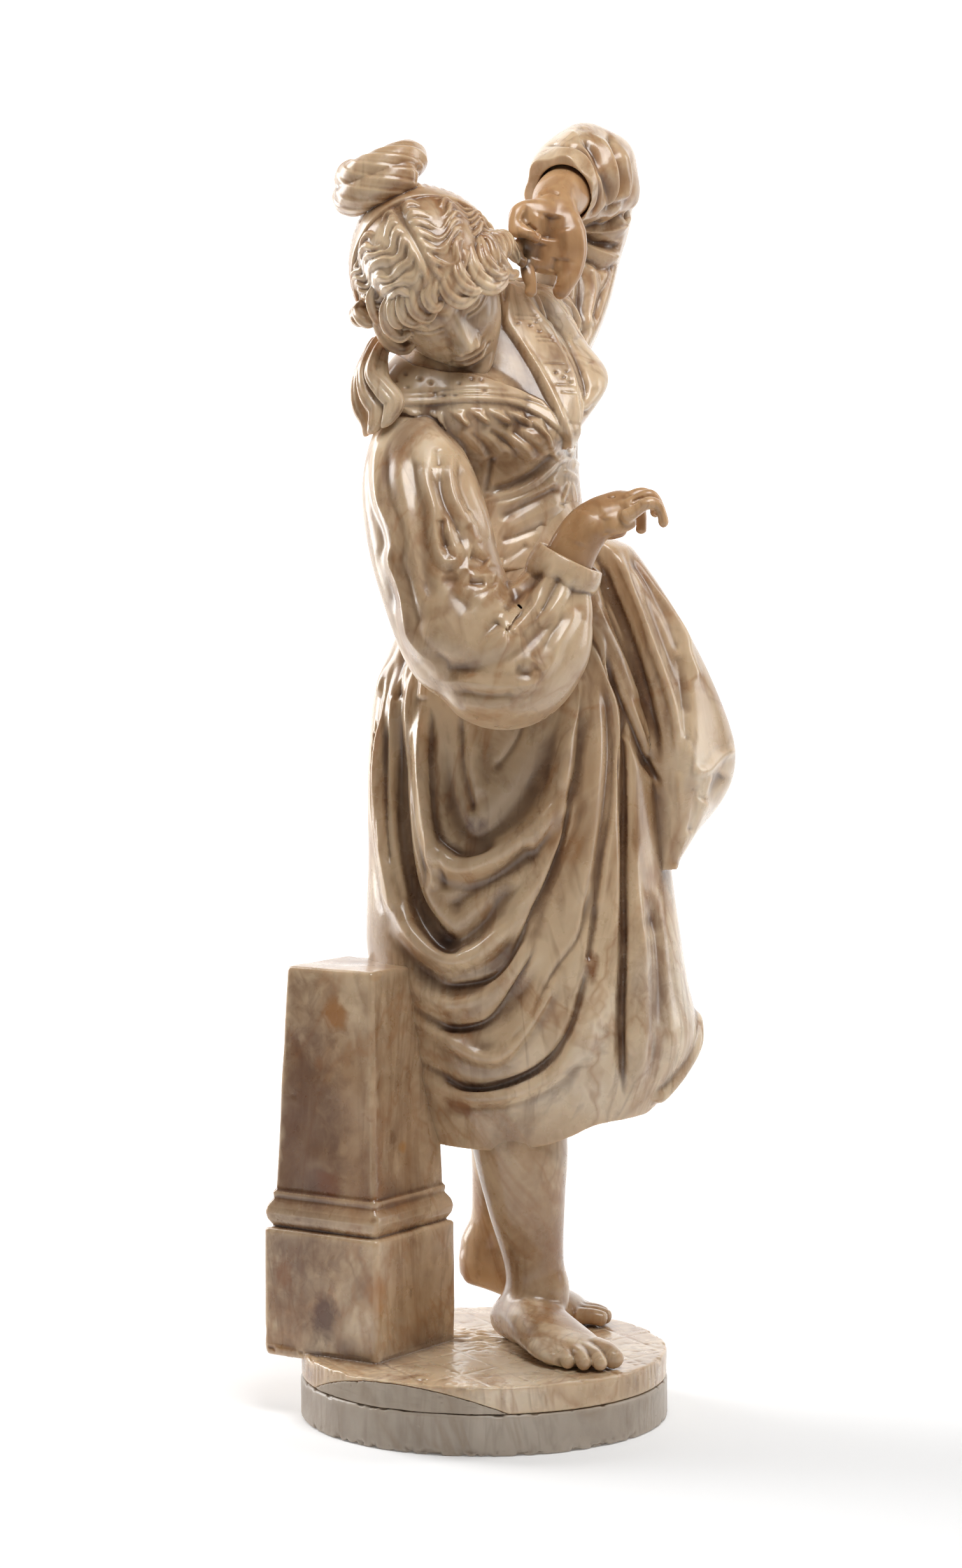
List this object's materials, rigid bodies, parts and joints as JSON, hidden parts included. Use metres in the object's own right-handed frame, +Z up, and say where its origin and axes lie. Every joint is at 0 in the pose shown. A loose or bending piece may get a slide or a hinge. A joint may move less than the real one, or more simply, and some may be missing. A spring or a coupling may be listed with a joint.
{
  "type": "alabaster statue of a woman",
  "caption": "Carved alabaster statue of a barefoot young woman in a laced bodice, shawl and gathered skirt, leaning on a square post, hand at her hair, on a round plinth.",
  "frame": {"origin": "centre of the round plinth's underside", "axes": "+Z up through the figure, -Y towards the main viewer, +X to the viewer's right"},
  "size_m": [0.2935, 0.2709, 0.8041],
  "materials": {
    "alabaster": "polished cream alabaster with brown and orange clouding",
    "alabaster_brown": "polished brown alabaster",
    "repair": "dull greyish alabaster with a rough face",
    "plinth_stone": "honed greyish white alabaster"
  },
  "bodies": {
    "root": {"figure_with_post_and_ground": "alabaster", "right_hand": "alabaster_brown", "raised_left_hand": "alabaster_brown", "ground_repair_wedge": "repair", "plinth_disc": "plinth_stone"}
  },
  "joints": []
}
